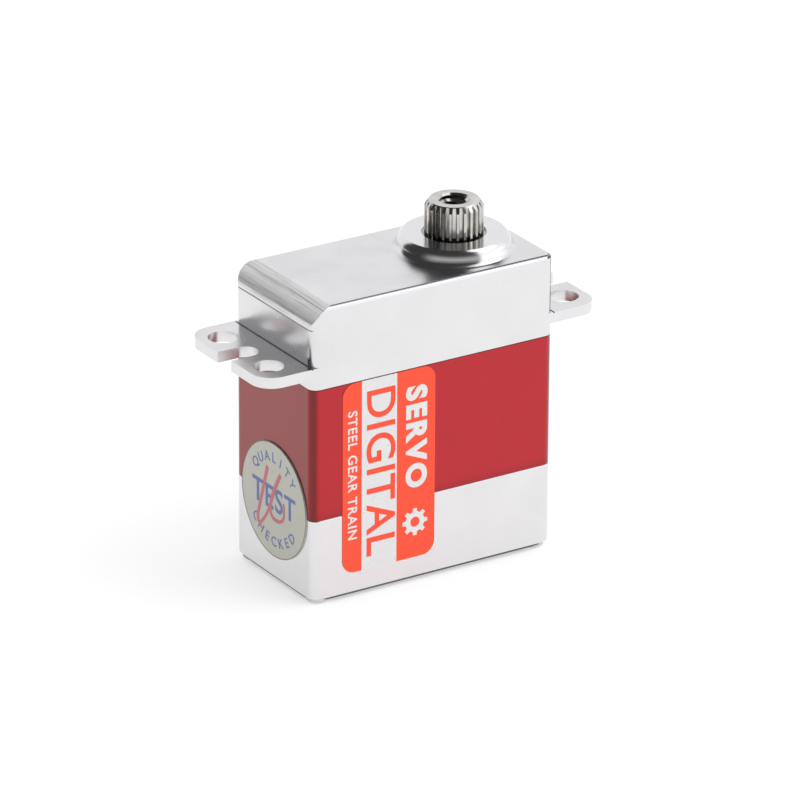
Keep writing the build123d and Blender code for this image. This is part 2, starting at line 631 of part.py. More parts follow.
def make_commutator():
    ring = tube(MOTOR_X, 0, BUSH_R, MOTOR_SHAFT_R, *COMMUTATOR_Z)
    half_w = COMMUTATOR_SLOT_HALF_W
    slot = block(COMMUTATOR_SLOT, (-half_w, half_w), (COMMUTATOR_Z[0], COMMUTATOR_SLOT_TOP_Z))
    for k in range(COMMUTATOR_BARS):
        ring -= Pos(MOTOR_X, 0, 0) * Rot(0, 0, 360 * k / COMMUTATOR_BARS) * slot
    return ring


def make_motor_shaft():
    z = (END_CAP_Z[0] - MOTOR_SHAFT_PROUD, MOTOR_PINION_Z[1] + MOTOR_SHAFT_PROUD)
    return rod(MOTOR_X, 0, MOTOR_SHAFT_R, *z)


def make_motor_end_cap():
    cap = rod(MOTOR_X, 0, CAN_R, *END_CAP_Z)
    cap -= rod(MOTOR_X, 0, END_CAP_INNER_R, END_CAP_Z[0] + END_CAP_FLOOR_T, END_CAP_Z[1] + 1)
    cap -= rod(MOTOR_X, 0, BUSH_R, END_CAP_Z[0] - 1, END_CAP_Z[1] + 1)
    for side in (-1, 1):
        cap -= terminal_blade(side)
    return cap


def terminal_blade(side):
    x = (MOTOR_X - TERMINAL_HALF_W, MOTOR_X + TERMINAL_HALF_W)
    y = sorted(side * edge for edge in TERMINAL_Y)
    return block(x, y, (BOARD_Z[0] - PIN_THROUGH, END_CAP_Z[0] + TERMINAL_RISE))


def make_motor_terminals():
    return [terminal_blade(side) for side in (-1, 1)]


def make_motor_brushes():
    """Two leaf springs from the terminals to either side of the commutator."""
    level = [END_CAP_Z[0] + rise for rise in BRUSH_RISE]
    near_x, far_x = [MOTOR_X + x for x in BRUSH_X]
    brushes = []
    for side in (-1, 1):
        leaf = block((near_x, far_x), sorted(side * y for y in BRUSH_Y), level)
        arm_y = sorted((side * BRUSH_Y[0], side * BRUSH_FOOT_Y[0]))
        arm = block((far_x - BRUSH_T, far_x), arm_y, level)
        foot_x = (MOTOR_X + TERMINAL_HALF_W, far_x)
        foot = block(foot_x, sorted(side * y for y in BRUSH_FOOT_Y), level)
        brushes.append(leaf + arm + foot)
    return brushes


def make_circuit_board():
    half_x, half_y = BOARD_HALF
    board = block((-half_x, half_x), (-half_y, half_y), BOARD_Z)
    column_gap_r = COLUMN_R + BOARD_COLUMN_GAP
    board -= [rod(x, y, column_gap_r, *BOARD_Z) for x, y in corners(SCREW_X, SCREW_Y)]
    board -= [terminal_blade(side) for side in (-1, 1)]
    board -= [lead(y) for y in LEAD_Y]
    return board


def under_board(x, y, size):
    """Component soldered to the underside of the board."""
    length, width, height = size
    z = (BOARD_Z[0] - height, BOARD_Z[0])
    return block((x - length / 2, x + length / 2), (y - width / 2, y + width / 2), z)


def make_microcontroller():
    return under_board(**CONTROLLER)


def make_drive_transistors():
    return [under_board(x, y, TRANSISTOR) for x in TRANSISTOR_X for y in TRANSISTOR_Y]


def make_capacitors():
    rise = BOARD_Z[1] - BOARD_Z[0] + CAPACITOR[2]
    return [Pos(0, 0, rise) * under_board(CAPACITOR_X, y, CAPACITOR) for y in CAPACITOR_Y]


def make_oscillator():
    return under_board(**OSCILLATOR)


def make_resistors():
    return [under_board(x, y, RESISTOR) for x in RESISTOR_X for y in RESISTOR_Y]


def lead(y):
    x = OUTPUT_X + POT_R - LEAD_INSET
    half_x, half_y = LEAD_HALF
    z = (BOARD_Z[0] - PIN_THROUGH, POT_Z[0] + POT_WALL)
    return block((x - half_x, x + half_x), (y - half_y, y + half_y), z)


def make_potentiometer_body():
    body = rod(OUTPUT_X, 0, POT_R, *POT_Z)
    body -= rod(OUTPUT_X, 0, POT_R - POT_WALL, POT_Z[0] + POT_WALL, POT_Z[1] - POT_WALL)
    body -= rod(OUTPUT_X, 0, POT_BORE_R, POT_Z[1] - 2, POT_Z[1] + 1)
    body -= [lead(y) for y in LEAD_Y]
    return body


def make_potentiometer_track():
    z = POT_Z[0] + POT_WALL
    return tube(OUTPUT_X, 0, POT_R - POT_WALL, POT_BORE_R, z, z + POT_TRACK_T)


def make_potentiometer_rotor():
    hub_z, disc_z, top_z = [POT_Z[0] + POT_WALL + rise for rise in POT_ROTOR_RISE]
    rotor = rod(OUTPUT_X, 0, POT_ROTOR_R, disc_z, top_z) + rod(OUTPUT_X, 0, POT_HUB_R, hub_z, disc_z)
    return rotor - rod(OUTPUT_X, 0, OUTPUT_PIN_R, 0, TOP_Z)


def make_potentiometer_wiper():
    tip_z, plate_z, top_z = [POT_Z[0] + POT_WALL + rise for rise in WIPER_RISE]
    plate_x = [OUTPUT_X + x for x in WIPER_X]
    finger_x = [OUTPUT_X + x for x in WIPER_FINGER_X]
    wiper = block(plate_x, (-WIPER_HALF_W, WIPER_HALF_W), (plate_z, top_z))
    for y in WIPER_FINGER_Y:
        wiper += block(finger_x, (y, y + WIPER_FINGER_W), (tip_z, plate_z))
    return wiper


def make_potentiometer_leads():
    return [lead(y) for y in LEAD_Y]


def all_parts():
    parts = {
        "top_case": make_top_case(),
        "middle_case": make_middle_case(),
        "bottom_case": make_bottom_case(),
        "case_screws": make_case_screws(),
        "cable_grommet": make_cable_grommet(),
        "side_label": make_side_label(),
        "inspection_sticker": make_inspection_sticker(),
        "idler_pin": make_idler_pin(),
        "first_gear": make_first_gear(),
        "second_gear": make_second_gear(),
        "third_gear": make_third_gear(),
        "output_gear": make_output_gear(),
        "output_shaft": make_output_shaft(),
        "output_pin": make_output_pin(),
        "motor_pinion": make_motor_pinion(),
        "motor_shaft": make_motor_shaft(),
        "motor_can": make_motor_can(),
        "motor_magnet": make_motor_magnet(),
        "motor_coil": make_motor_coil(),
        "coil_hub": make_coil_hub(),
        "commutator": make_commutator(),
        "motor_end_cap": make_motor_end_cap(),
        "motor_terminals": make_motor_terminals(),
        "motor_brushes": make_motor_brushes(),
        "motor_screws": make_motor_screws(),
        "circuit_board": make_circuit_board(),
        "microcontroller": make_microcontroller(),
        "drive_transistors": make_drive_transistors(),
        "capacitors": make_capacitors(),
        "oscillator": make_oscillator(),
        "resistors": make_resistors(),
        "potentiometer_body": make_potentiometer_body(),
        "potentiometer_track": make_potentiometer_track(),
        "potentiometer_rotor": make_potentiometer_rotor(),
        "potentiometer_wiper": make_potentiometer_wiper(),
        "potentiometer_leads": make_potentiometer_leads(),
    }
    parts["motor_front_bush"], parts["motor_rear_bush"] = make_motor_bushes()
    for name, sizes in (("upper", UPPER_BEARING), ("lower", LOWER_BEARING)):
        inner, outer, balls, cage = make_bearing(**sizes)
        parts[f"{name}_bearing_inner_ring"] = inner
        parts[f"{name}_bearing_outer_ring"] = outer
        parts[f"{name}_bearing_balls"] = balls
        parts[f"{name}_bearing_cage"] = cage
    return parts


os.makedirs("parts", exist_ok=True)
for node, shape in all_parts().items():
    if isinstance(shape, list):
        shape = Compound(children=shape)
    export_step(shape, f"parts/{node}.step")
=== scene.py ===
from math import cos, pi, radians, sin

import bmesh
import bpy
from mathutils import Matrix, Vector


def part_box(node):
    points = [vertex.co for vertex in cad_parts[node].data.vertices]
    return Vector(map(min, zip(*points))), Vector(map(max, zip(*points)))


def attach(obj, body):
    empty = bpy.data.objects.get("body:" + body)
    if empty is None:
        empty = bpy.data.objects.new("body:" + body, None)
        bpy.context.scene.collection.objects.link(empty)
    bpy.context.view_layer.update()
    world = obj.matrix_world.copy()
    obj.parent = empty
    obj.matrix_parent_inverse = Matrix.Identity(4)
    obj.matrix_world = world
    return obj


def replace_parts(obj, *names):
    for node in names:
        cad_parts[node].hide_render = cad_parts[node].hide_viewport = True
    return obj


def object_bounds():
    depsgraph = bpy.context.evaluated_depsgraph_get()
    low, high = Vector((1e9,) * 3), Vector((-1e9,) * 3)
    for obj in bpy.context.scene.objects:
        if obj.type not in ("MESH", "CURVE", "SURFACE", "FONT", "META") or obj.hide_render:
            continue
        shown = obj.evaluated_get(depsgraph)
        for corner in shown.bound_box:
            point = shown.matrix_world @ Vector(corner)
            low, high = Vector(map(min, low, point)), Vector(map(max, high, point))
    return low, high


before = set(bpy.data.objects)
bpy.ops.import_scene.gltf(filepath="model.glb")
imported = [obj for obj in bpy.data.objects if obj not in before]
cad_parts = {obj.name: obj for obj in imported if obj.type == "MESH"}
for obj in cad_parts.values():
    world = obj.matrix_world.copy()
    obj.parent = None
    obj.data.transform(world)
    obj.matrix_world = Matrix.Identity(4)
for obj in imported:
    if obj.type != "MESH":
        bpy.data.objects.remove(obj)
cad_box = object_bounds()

MM = 0.001

# ---------------------------------------------------------------- places, from the frame
case_lo, case_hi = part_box("bottom_case")
top_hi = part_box("top_case")[1]
shaft_lo, shaft_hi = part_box("output_shaft")
middle_lo, middle_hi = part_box("middle_case")
label_lo, label_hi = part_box("side_label")
sticker_lo, sticker_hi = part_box("inspection_sticker")
box_lo, box_hi = cad_box
box_centre = (Vector(box_lo) + Vector(box_hi)) / 2
BOSS_H = 1.5 * MM               # the boss stands this far above the flat top face
top_face_z = top_hi.z - BOSS_H


# ---------------------------------------------------------------- camera
CAMERA_AZIMUTH = radians(-32.44)
CAMERA_ELEVATION = radians(23.07)
CAMERA_ROLL = radians(0.32)
CAMERA_DISTANCE = 682.5 * MM
CAMERA_LENS = 302.2
CAMERA_CLIP = (0.02, 20.0)
AIM_OFFSET = Vector((0.69, 0.02, -2.05)) * MM


def add_camera():
    a, e = CAMERA_AZIMUTH, CAMERA_ELEVATION
    back = Vector((sin(a) * cos(e), -cos(a) * cos(e), sin(e)))
    data = bpy.data.cameras.new("camera")
    data.lens = CAMERA_LENS
    data.clip_start, data.clip_end = CAMERA_CLIP
    camera = bpy.data.objects.new("camera", data)
    bpy.context.scene.collection.objects.link(camera)
    camera.rotation_mode = "QUATERNION"
    turn = (-back).to_track_quat("-Z", "Y")
    camera.rotation_quaternion = turn @ Matrix.Rotation(CAMERA_ROLL, 3, "Z").to_quaternion()
    camera.location = box_centre + AIM_OFFSET + back * CAMERA_DISTANCE
    bpy.context.scene.camera = camera


# ---------------------------------------------------------------- node helpers
NOISE_SPAN = (0.3, 0.7)         # nearly all noise lies between these
LINE_CORE = 0.4                 # share of a soft line's half width that has its full strength


class Finish:
    """A material being built: a Principled shader with its texture nodes."""

    def __init__(self, name, base, metallic=0.0, roughness=0.4, **sockets):
        self.material = bpy.data.materials.new(name)
        self.material.use_nodes = True
        self.tree = self.material.node_tree
        self.shader = self.tree.nodes["Principled BSDF"]
        self.shader.inputs["Base Color"].default_value = (*base, 1)
        self.shader.inputs["Metallic"].default_value = metallic
        self.shader.inputs["Roughness"].default_value = roughness
        for socket, value in sockets.items():
            self.shader.inputs[socket.replace("_", " ")].default_value = value
        self.base, self.roughness = base, roughness
        self.place = self.node("ShaderNodeTexCoord").outputs["Object"]

    def node(self, kind, **settings):
        made = self.tree.nodes.new(kind)
        for key, value in settings.items():
            setattr(made, key, value)
        return made

    def link(self, source, target):
        self.tree.links.new(source, target)

    def noise(self, cell, stretch=(1, 1, 1), detail=3.0, rough=0.55):
        """Noise with cells of about the given size in metres; stretch lengthens them along an axis."""
        mapping = self.node("ShaderNodeMapping")
        mapping.inputs["Scale"].default_value = [1 / (cell * s) for s in stretch]
        self.link(self.place, mapping.inputs["Vector"])
        noise = self.node("ShaderNodeTexNoise")
        noise.inputs["Scale"].default_value = 1.0
        noise.inputs["Detail"].default_value = detail
        noise.inputs["Roughness"].default_value = rough
        self.link(mapping.outputs["Vector"], noise.inputs["Vector"])
        return noise.outputs["Fac"]

    def remap(self, value, from_min, from_max, to_min, to_max):
        """Value carried over from one range to another."""
        scale = self.node("ShaderNodeMapRange")
        scale.inputs["From Min"].default_value = from_min
        scale.inputs["From Max"].default_value = from_max
        scale.inputs["To Min"].default_value = to_min
        scale.inputs["To Max"].default_value = to_max
        self.link(value, scale.inputs["Value"])
        return scale.outputs["Result"]

    def math(self, operation, a, b=None):
        made = self.node("ShaderNodeMath", operation=operation)
        for socket, value in zip(made.inputs, (a, b)):
            if isinstance(value, (int, float)):
                socket.default_value = value
            elif value is not None:
                self.link(value, socket)
        return made.outputs["Value"]

    def product(self, *masks):
        """1 where every mask is 1."""
        whole = masks[0]
        for mask in masks[1:]:
            whole = self.math("MULTIPLY", whole, mask)
        return whole

    def size(self, value):
        """The value without its sign."""
        return self.math("ABSOLUTE", value)

    def axis(self, letter):
        """One coordinate of the point that is shaded, in metres."""
        split = self.node("ShaderNodeSeparateXYZ")
        self.link(self.place, split.inputs["Vector"])
        return split.outputs[letter]

    def normal(self, letter):
        """One part of the surface's own direction."""
        split = self.node("ShaderNodeSeparateXYZ")
        self.link(self.node("ShaderNodeNewGeometry").outputs["Normal"], split.inputs["Vector"])
        return split.outputs[letter]

    def near(self, value, spot, half_width):
        """1 where value is at spot, fading to 0 at half_width on either side."""
        away = self.size(self.math("SUBTRACT", value, spot))
        return self.smooth(away, half_width, LINE_CORE * half_width)

    def smooth(self, value, start, end):
        """0 at start and 1 at end, with a soft change between them; end may be the smaller one."""
        step = self.node("ShaderNodeMapRange", interpolation_type="SMOOTHSTEP")
        step.inputs["From Min"].default_value = start
        step.inputs["From Max"].default_value = end
        self.link(value, step.inputs["Value"])
        return step.outputs["Result"]

    def mix_colour(self, value, other):
        """Fade from the colour so far to another colour, following value."""
        mix = self.node("ShaderNodeMix", data_type="RGBA")
        socket = self.shader.inputs["Base Color"]
        if socket.links:
            self.link(socket.links[0].from_socket, mix.inputs["A"])
        else:
            mix.inputs["A"].default_value = (*self.base, 1)
        self.link(value, mix.inputs["Factor"])
        mix.inputs["B"].default_value = (*other, 1)
        self.link(mix.outputs["Result"], socket)

    def mix_roughness(self, value, other):
        """Fade from the roughness so far to another value, following value."""
        mix = self.node("ShaderNodeMix", data_type="FLOAT")
        socket = self.shader.inputs["Roughness"]
        if socket.links:
            self.link(socket.links[0].from_socket, mix.inputs["A"])
        else:
            mix.inputs["A"].default_value = self.roughness
        self.link(value, mix.inputs["Factor"])
        mix.inputs["B"].default_value = other
        self.link(mix.outputs["Result"], socket)

    def vary_colour(self, value, low, high):
        """Base colour from low times to high times the base, following value."""
        ramp = self.node("ShaderNodeValToRGB")
        for stop, position, factor in zip(ramp.color_ramp.elements, NOISE_SPAN, (low, high)):
            stop.position = position
            stop.color = (*[min(c * factor, 1) for c in self.base], 1)
        self.link(value, ramp.inputs["Fac"])
        self.link(ramp.outputs["Color"], self.shader.inputs["Base Color"])

    def vary_roughness(self, value, spread):
        """Roughness up to spread below and above its own, following value."""
        varied = self.remap(value, *NOISE_SPAN, self.roughness - spread, self.roughness + spread)
        self.link(varied, self.shader.inputs["Roughness"])

    def bump(self, height, depth, under=None):
        """Bump of the given depth in metres, on top of the bump before it."""
        bump = self.node("ShaderNodeBump")
        bump.inputs["Distance"].default_value = depth
        bump.inputs["Strength"].default_value = 1.0
        self.link(height, bump.inputs["Height"])
        if under is not None:
            self.link(under, bump.inputs["Normal"])
        self.link(bump.outputs["Normal"], self.shader.inputs["Normal"])


# ---------------------------------------------------------------- materials
SILVER = (0.755, 0.75, 0.76)
NOSE_LIGHT = (1.0, 1.0, 1.0)
NOSE_DARK = (0.70, 0.70, 0.71)
# near black: painted shade at the foot of the nose and by the ears, and the dark tips of the long edges at
# the output end
DARK_MARK = (0.10, 0.095, 0.105)
OUTPUT_CORNER_DARK = (0.28, 0.26, 0.23)
# painted shade on the edge round the underside
UNDERSIDE_PAINTED_SHADE = (0.06, 0.06, 0.065)
# painted reflection: the violet line on the rounded long edges
EDGE_PAINTED_REFLECTION = (0.42, 0.41, 0.50)
RED = (0.46, 0.006, 0.014)
# painted shade on the red end faces
RED_END_PAINTED_SHADE = (0.22, 0.001, 0.001)
# painted shade in the red corners, the parting lines and towards the foot
RED_PAINTED_SHADE = (0.17, 0.004, 0.007)


def satin_metal(name, base, roughness, grain=0.16 * MM, depth=0.0010 * MM, **sockets):
    """Fine blasted and anodised metal: tiny grain, faint cloudiness."""
    finish = Finish(name, base, metallic=1.0, roughness=roughness, **sockets)
    finish.vary_roughness(finish.noise(cell=3.5 * MM, detail=4), spread=0.035)
    finish.vary_colour(finish.noise(cell=6 * MM, detail=2), low=0.97, high=1.02)
    finish.bump(finish.noise(grain), depth)
    return finish


NOSE_REACH = 2.36 * MM          # how far the rounded edge runs in from the motor end and down from the top
NOSE_FADE = 0.3 * MM
NOSE_ROUGHNESS = 0.34
SCORE_DEPTH = 0.03 * MM
BOSS_ROUGHNESS = 0.18
EAR_TOP_DROP = 6.3 * MM         # from the top face down to the ears

# Each pair runs from where a mark starts to where it is full, as distances from a face of the case
BOSS_RISE = (0.1 * MM, 0.2 * MM)
FOOT_INSET = (0.3 * MM, 0.15 * MM)
CORNER_INSET = (1.0 * MM, 0.95 * MM)
CORNER_RISE = (0.0, 0.1 * MM)
TIP_INSET = (0.95 * MM, 0.75 * MM)
TIP_DROP = (0.4 * MM, 0.3 * MM)
EDGE_INSET = (0.6 * MM, 0.5 * MM)
RED_INSET = (0.75 * MM, 0.3 * MM)
RED_SHADE_RISE = (1.2 * MM, 0.0)
UNDERSIDE_RISE = (0.33 * MM, 0.27 * MM)

# The same for parts of the surface's own direction, which pick out the roundings
NOSE_LEAN = (-0.05, -0.10)      # its X part times its Z part
CORNER_NORMAL_X = (0.48, 0.6)
CORNER_NORMAL_Y = (0.2, 0.35)
TIP_NORMAL_Z = (0.97, 0.9)
EDGE_NORMAL_Y = (0.3, 0.4)

# And for noise, from the dark scratches to the light ones
NOSE_TONES = (0.38, 0.54)

# Thin lines: half their width
EDGE_NORMAL_Z = 0.80            # the violet line lies where the Z part is this much,
EDGE_LINE_HALF = 0.13           # give or take this
FOOT_LINE_HALF = 0.07 * MM
EAR_LINE_HALF = 0.13 * MM
RED_LINE_HALF = 0.09 * MM
RED_SHADE = 0.35                # strength of the shade at the foot of the red part


def short_of(face, distances):
    """The places at these distances from a face, towards smaller values."""
    return [face - distance for distance in distances]


def beyond(face, distances):
    """The places at these distances from a face, towards larger values."""
    return [face + distance for distance in distances]


def darkened_output_corners(finish, x, z):
    """Darker upright corners of the output end, above the ears, and dark tips of the long edges there."""
    corner = finish.product(
        finish.smooth(finish.normal("X"), *CORNER_NORMAL_X),
        finish.smooth(finish.size(finish.normal("Y")), *CORNER_NORMAL_Y),
        finish.smooth(x, *short_of(case_hi.x, CORNER_INSET)),
        finish.smooth(z, *beyond(top_face_z - EAR_TOP_DROP, CORNER_RISE)))
    finish.mix_colour(corner, OUTPUT_CORNER_DARK)
    tip = finish.product(
        finish.smooth(x, *short_of(case_hi.x, TIP_INSET)),
        finish.smooth(z, *short_of(top_face_z, TIP_DROP)),
        finish.smooth(finish.normal("Z"), *TIP_NORMAL_Z))
    finish.mix_colour(tip, DARK_MARK)


def painted_edge_reflection(finish, z):
    """Painted reflection: a thin violet line along the rounded long edges."""
    line = finish.product(
        finish.near(finish.normal("Z"), EDGE_NORMAL_Z, EDGE_LINE_HALF),
        finish.smooth(finish.size(finish.normal("Y")), *EDGE_NORMAL_Y),
        finish.smooth(finish.size(finish.axis("Y")), *short_of(case_hi.y, EDGE_INSET)),
        finish.smooth(z, *short_of(top_face_z, EDGE_INSET)))
    finish.mix_colour(line, EDGE_PAINTED_REFLECTION)


def scored_nose(finish, x):
    """Scratches across the rounded edge at the motor end, light on dark."""
    grain = finish.shader.inputs["Normal"].links[0].from_socket
    nose = finish.product(
        finish.smooth(finish.product(finish.normal("X"), finish.normal("Z")), *NOSE_LEAN),
        finish.smooth(x, case_lo.x + NOSE_REACH + NOSE_FADE, case_lo.x + NOSE_REACH))
    marks = finish.noise(cell=0.16 * MM, stretch=(1, 60, 1), detail=4, rough=0.75)
    finish.mix_roughness(nose, NOSE_ROUGHNESS)
    finish.mix_colour(nose, NOSE_DARK)
    finish.mix_colour(finish.product(nose, finish.smooth(marks, *NOSE_TONES)), NOSE_LIGHT)
    finish.bump(finish.product(marks, nose), SCORE_DEPTH, under=grain)


def painted_shade_foot(finish, x, z):
    """Painted shade on the motor end, along the crease at the foot of its rounded edge."""
    foot_line = finish.near(z, top_face_z - NOSE_REACH, FOOT_LINE_HALF)
    at_wall = finish.smooth(x, *beyond(case_lo.x, FOOT_INSET))
    finish.mix_colour(finish.product(foot_line, at_wall), DARK_MARK)


def painted_shade_ear_corners(finish, x, z):
    """Painted shade in the corners between the ears and the end walls."""
    by_wall = finish.near(finish.size(x), case_hi.x, EAR_LINE_HALF)
    by_ear = finish.near(z, top_face_z - EAR_TOP_DROP, EAR_LINE_HALF)
    finish.mix_colour(finish.product(by_wall, by_ear), DARK_MARK)


def top_case_metal():
    """Silver metal, polished on the boss and scored at the motor end, with a painted violet reflection along
    its long edges, painted shade at the foot of the nose and by the ears, and darker corners and edge tips
    at the output end.
    """
    finish = satin_metal("silver_top", SILVER, roughness=0.25)
    x, z = finish.axis("X"), finish.axis("Z")
    finish.mix_roughness(finish.smooth(z, *beyond(top_face_z, BOSS_RISE)), BOSS_ROUGHNESS)
    scored_nose(finish, x)
    painted_shade_foot(finish, x, z)
    darkened_output_corners(finish, x, z)
    painted_edge_reflection(finish, z)
    painted_shade_ear_corners(finish, x, z)
    return finish.material


def red_metal():
    """Dyed and sealed metal: a clear gloss over deep red, with painted shade on the end faces, darkest at
    the corners, in the parting lines and towards the foot.
    """
    finish = satin_metal("red_anodised", RED, roughness=0.25, Coat_Weight=0.8, Coat_Roughness=0.16)
    z = finish.axis("Z")
    end = finish.smooth(finish.size(finish.axis("X")), *short_of(case_hi.x, RED_INSET))
    side = finish.smooth(finish.size(finish.axis("Y")), *short_of(case_hi.y, RED_INSET))
    finish.mix_colour(end, RED_END_PAINTED_SHADE)
    finish.mix_colour(finish.product(end, side), RED_PAINTED_SHADE)
    # painted shade in the parting lines above and below the red part
    for edge_z in (middle_hi.z, middle_lo.z):
        finish.mix_colour(finish.near(z, edge_z, RED_LINE_HALF), RED_PAINTED_SHADE)
    low_shade = finish.smooth(z, *beyond(middle_lo.z, RED_SHADE_RISE))
    finish.mix_colour(finish.product(low_shade, RED_SHADE), RED_PAINTED_SHADE)
    return finish.material


def bottom_case_metal():
    """Silver metal with painted shade on the edge round the underside."""
    finish = satin_metal("silver_case", SILVER, roughness=0.24)
    underside = finish.smooth(finish.axis("Z"), *beyond(case_lo.z, UNDERSIDE_RISE))
    finish.mix_colour(underside, UNDERSIDE_PAINTED_SHADE)
    return finish.material


def turned_steel(name, base, roughness):
    """Steel turned on a lathe round the output axis: fine rings and a slight mottle."""
    finish = Finish(name, base, metallic=1.0, roughness=roughness)
    finish.vary_roughness(finish.noise(cell=0.8 * MM), spread=0.05)
    finish.vary_colour(finish.noise(cell=1.4 * MM), low=0.85, high=1.08)
    finish.bump(finish.noise(cell=0.05 * MM, stretch=(12, 12, 1), detail=2), depth=0.0015 * MM)
    return finish.material


def plain_metal(name, base, roughness, grain=0.12 * MM):
    """Machined or plated metal with a slightly deeper grain."""
    return satin_metal(name, base, roughness, grain, depth=0.002 * MM).material


def moulded(name, base, roughness=0.5, cell=0.15 * MM):
    """Moulded plastic or rubber with a fine skin."""
    finish = Finish(name, base, metallic=0.0, roughness=roughness)
    finish.vary_roughness(finish.noise(cell=1.2 * MM), spread=0.06)
    finish.vary_colour(finish.noise(cell=2.5 * MM), low=0.9, high=1.1)
    finish.bump(finish.noise(cell), depth=0.004 * MM)
    return finish.material


def winding(name, base):
    """Enamelled wire laid side by side round the coil."""
    finish = Finish(name, base, metallic=0.9, roughness=0.3)
    wire = finish.node("ShaderNodeTexWave", wave_type="BANDS", bands_direction="Z")
    wire.inputs["Scale"].default_value = 1 / (0.9 * MM)
    wire.inputs["Distortion"].default_value = 0.4
    finish.link(finish.place, wire.inputs["Vector"])
    finish.vary_colour(finish.noise(cell=1.0 * MM), low=0.8, high=1.1)
    finish.bump(wire.outputs["Fac"], depth=0.02 * MM)
    return finish.material


TRACK_GRID = 1.6 * MM           # size of the fields between tracks
TRACK_HALF = 0.1                # half a track's width, as a share of a field


def circuit_material(name, base):
    """Solder mask with copper tracks showing faintly through it."""
    finish = Finish(name, base, metallic=0.0, roughness=0.35, Coat_Weight=0.4)
    tracks = finish.node("ShaderNodeTexVoronoi", feature="DISTANCE_TO_EDGE", distance="MANHATTAN")
    tracks.inputs["Scale"].default_value = 1 / TRACK_GRID
    finish.link(finish.place, tracks.inputs["Vector"])
    on_track = finish.math("LESS_THAN", tracks.outputs["Distance"], TRACK_HALF)
    finish.vary_colour(on_track, low=1.0, high=1.7)
    finish.bump(tracks.outputs["Distance"], depth=0.01 * MM)
    return finish.material


def print_vinyl(name, base, roughness=0.34, metallic=0.0, gloss=0.25, **sockets):
    """Printed film: faint ink mottle and a slightly wavy surface, glossy unless gloss is 0."""
    finish = Finish(name, base, metallic, roughness, Coat_Weight=gloss, Coat_Roughness=0.2, **sockets)
    finish.vary_colour(finish.noise(cell=0.5 * MM), low=0.97, high=1.02)
    finish.vary_roughness(finish.noise(cell=2 * MM), spread=0.04)
    finish.bump(finish.noise(cell=1.5 * MM, detail=1), depth=0.002 * MM)
    return finish.material


def floor_material():
    """Pale table top, lit from above and with light of its own, which softens the shadows on it."""
    finish = Finish("floor_paper", (0.64, 0.64, 0.64), metallic=0.0, roughness=0.9, Emission_Strength=0.54)
    finish.shader.inputs["Emission Color"].default_value = (1, 1, 1, 1)
    finish.vary_colour(finish.noise(cell=40 * MM), low=0.995, high=1.005)
    finish.bump(finish.noise(cell=0.8 * MM), depth=0.005 * MM)
    return finish.material


def dress_cad_nodes():
    """Every CAD node gets its finish; nodes of one kind share a material, and the rest are bearing steel."""
    bearing = plain_metal("bearing_steel", (0.66, 0.66, 0.66), roughness=0.12, grain=0.05 * MM)
    gear = plain_metal("gear_steel", (0.55, 0.54, 0.52), roughness=0.28)
    brass = plain_metal("brass", (0.78, 0.57, 0.24), roughness=0.26)
    black = moulded("black_plastic", (0.022, 0.022, 0.024))
    chip = moulded("chip_epoxy", (0.02, 0.02, 0.02), roughness=0.42, cell=0.06 * MM)
    screw = plain_metal("screw_steel", (0.62, 0.61, 0.59), roughness=0.22, grain=0.06 * MM)
    finishes = {
        "top_case": top_case_metal(),
        "middle_case": red_metal(),
        "bottom_case": bottom_case_metal(),
        "case_screws": screw,
        "motor_screws": screw,
        "motor_can": screw,
        "oscillator": screw,
        "cable_grommet": moulded("gland_rubber", (0.018, 0.018, 0.019), roughness=0.6),
        "output_shaft": turned_steel("spline_steel", (0.60, 0.585, 0.56), roughness=0.17),
        "motor_magnet": plain_metal("magnet_plate", (0.35, 0.35, 0.36), roughness=0.3),
        "motor_coil": winding("coil_wire", (0.60, 0.26, 0.10)),
        "circuit_board": circuit_material("solder_mask", (0.02, 0.16, 0.06)),
        "capacitors": moulded("capacitor_body", (0.55, 0.36, 0.09), roughness=0.35),
        "potentiometer_track": moulded("carbon_track", (0.03, 0.03, 0.035), cell=0.05 * MM),
        "motor_front_bush": plain_metal("bush_bronze", (0.55, 0.36, 0.18), roughness=0.4),
    }
    finishes["motor_rear_bush"] = finishes["motor_front_bush"]
    for name in ("coil_hub", "motor_end_cap", "potentiometer_body", "potentiometer_rotor"):
        finishes[name] = black
    for name in ("microcontroller", "drive_transistors", "resistors"):
        finishes[name] = chip
    for name in ("first_gear", "second_gear", "third_gear", "output_gear"):
        finishes[name] = gear
    for name in ("motor_pinion", "commutator", "motor_terminals", "motor_brushes", "potentiometer_wiper",
                 "potentiometer_leads", "upper_bearing_cage", "lower_bearing_cage"):
        finishes[name] = brass
    for node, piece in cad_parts.items():
        piece.material_slots[0].material = finishes.get(node, bearing)


# ---------------------------------------------------------------- mesh helpers
PRINT_T = 0.014 * MM            # ink stands this proud, so that it covers the film under it
PRINT_SINK = 0.002 * MM         # and starts this far inside it
TEXT_STEPS = 6


def new_piece(name, mesh, material, body):
    """A piece of the look that rides on a body and belongs to a material slot."""
    piece = bpy.data.objects.new(name, mesh)
    bpy.context.scene.collection.objects.link(piece)
    mesh.materials.clear()
    mesh.materials.append(material)
    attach(piece, body)
    return piece


def mesh_from(name, made):
    """Turns a finished bmesh into a mesh."""
    mesh = bpy.data.meshes.new(name)
    made.to_mesh(mesh)
    made.free()
    return mesh


def circle_points(radius, count, first=0.0):
    """Points round a circle; first turns them on by a share of the step between two points."""
    angles = [2 * pi * (k + first) / count for k in range(count)]
    return [(radius * cos(angle), radius * sin(angle)) for angle in angles]


